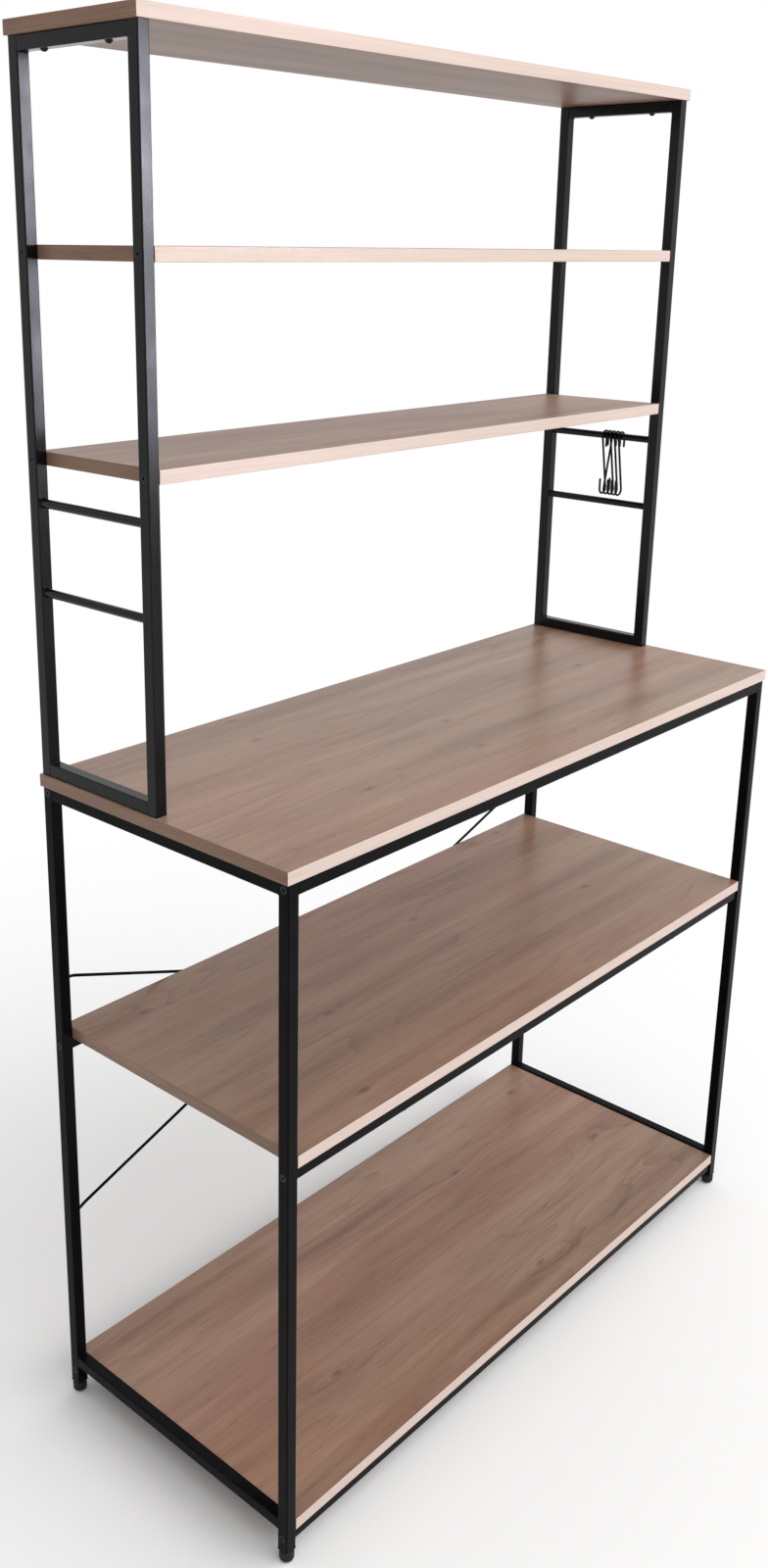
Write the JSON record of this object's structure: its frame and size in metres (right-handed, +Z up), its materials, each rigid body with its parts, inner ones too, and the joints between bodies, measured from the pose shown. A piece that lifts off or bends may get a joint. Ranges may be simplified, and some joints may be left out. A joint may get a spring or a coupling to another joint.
{
  "type": "kitchen shelf",
  "caption": "Free-standing kitchen shelf: tube-framed worktop table with boards below, and a narrow open hutch with shelves, hook rods and hanging S-hooks above.",
  "frame": {"origin": "on the floor, under the middle of the overall box", "axes": "+X to the user's right, +Y from the open front to the back, +Z up"},
  "size_m": [1, 0.4066, 1.665],
  "materials": {
    "black_paint": "satin black paint",
    "oak_laminate": "satin grey-brown oak-grain laminate",
    "black_plastic": "matte moulded black",
    "black_steel": "black oxide",
    "zinc_steel": "bright zinc plate"
  },
  "bodies": {
    "frame": {"base_bottom_rail_left": "black_paint", "base_bottom_rail_right": "black_paint", "base_top_rail_left": "black_paint", "base_top_rail_right": "black_paint", "bottom_shelf": "oak_laminate", "bottom_shelf_rail_back": "black_paint", "bottom_shelf_rail_front": "black_paint", "bottom_shelf_screws": "black_steel", "brace_rod_falling": "black_paint", "brace_rod_rising": "black_paint", "brace_screws": "black_steel", "frame_bolts": "black_steel", "hook_rod_lower_left": "black_paint", "hook_rod_lower_right": "black_paint", "hook_rod_upper_left": "black_paint", "hook_rod_upper_right": "black_paint", "hutch_bolts": "black_steel", "hutch_bottom_rail_left": "black_paint", "hutch_bottom_rail_right": "black_paint", "hutch_lower_shelf": "oak_laminate", "hutch_nuts": "zinc_steel", "hutch_shelf_screws": "black_steel", "hutch_top_rail_left": "black_paint", "hutch_top_rail_right": "black_paint", "hutch_upper_shelf": "oak_laminate", "hutch_upright_back_left": "black_paint", "hutch_upright_back_right": "black_paint", "hutch_upright_front_left": "black_paint", "hutch_upright_front_right": "black_paint", "leg_back_left": "black_paint", "leg_back_right": "black_paint", "leg_front_left": "black_paint", "leg_front_right": "black_paint", "leg_plugs": "black_plastic", "mid_shelf": "oak_laminate", "mid_shelf_rail_back": "black_paint", "mid_shelf_rail_front": "black_paint", "mid_shelf_screws": "black_steel", "rail_plugs": "black_plastic", "top_board": "oak_laminate", "top_board_screws": "black_steel", "worktop": "oak_laminate", "worktop_rail_back": "black_paint", "worktop_rail_front": "black_paint", "worktop_screws": "black_steel"},
    "foot_back_left": {"foot_back_left": "black_plastic"},
    "foot_back_right": {"foot_back_right": "black_plastic"},
    "foot_front_left": {"foot_front_left": "black_plastic"},
    "foot_front_right": {"foot_front_right": "black_plastic"},
    "s_hook_1": {"s_hook_1": "black_paint"},
    "s_hook_2": {"s_hook_2": "black_paint"},
    "s_hook_3": {"s_hook_3": "black_paint"},
    "s_hook_4": {"s_hook_4": "black_paint"},
    "s_hook_5": {"s_hook_5": "black_paint"}
  },
  "joints": [
    {"name": "foot_back_left_slide", "type": "slide", "parent": "frame", "child": "foot_back_left", "axis": [0, 0, 1], "range_m": [-0.006, 0]},
    {"name": "foot_back_right_slide", "type": "slide", "parent": "frame", "child": "foot_back_right", "axis": [0, 0, 1], "range_m": [-0.006, 0]},
    {"name": "foot_front_left_slide", "type": "slide", "parent": "frame", "child": "foot_front_left", "axis": [0, 0, 1], "range_m": [-0.006, 0]},
    {"name": "foot_front_right_slide", "type": "slide", "parent": "frame", "child": "foot_front_right", "axis": [0, 0, 1], "range_m": [-0.006, 0]},
    {"name": "s_hook_1_swing", "type": "hinge", "parent": "frame", "child": "s_hook_1", "pos_m": [0.4895, 0.0587, 1.18], "axis": [0, 1, 0], "range_deg": [-70, 70]},
    {"name": "s_hook_2_swing", "type": "hinge", "parent": "frame", "child": "s_hook_2", "pos_m": [0.4895, 0.0657, 1.18], "axis": [0, 1, 0], "range_deg": [-70, 70]},
    {"name": "s_hook_3_swing", "type": "hinge", "parent": "frame", "child": "s_hook_3", "pos_m": [0.4895, 0.0727, 1.18], "axis": [0, 1, 0], "range_deg": [-70, 70]},
    {"name": "s_hook_4_swing", "type": "hinge", "parent": "frame", "child": "s_hook_4", "pos_m": [0.4895, 0.0797, 1.18], "axis": [0, 1, 0], "range_deg": [-70, 70]},
    {"name": "s_hook_5_swing", "type": "hinge", "parent": "frame", "child": "s_hook_5", "pos_m": [0.4895, 0.0867, 1.18], "axis": [0, 1, 0], "range_deg": [-70, 70]}
  ]
}
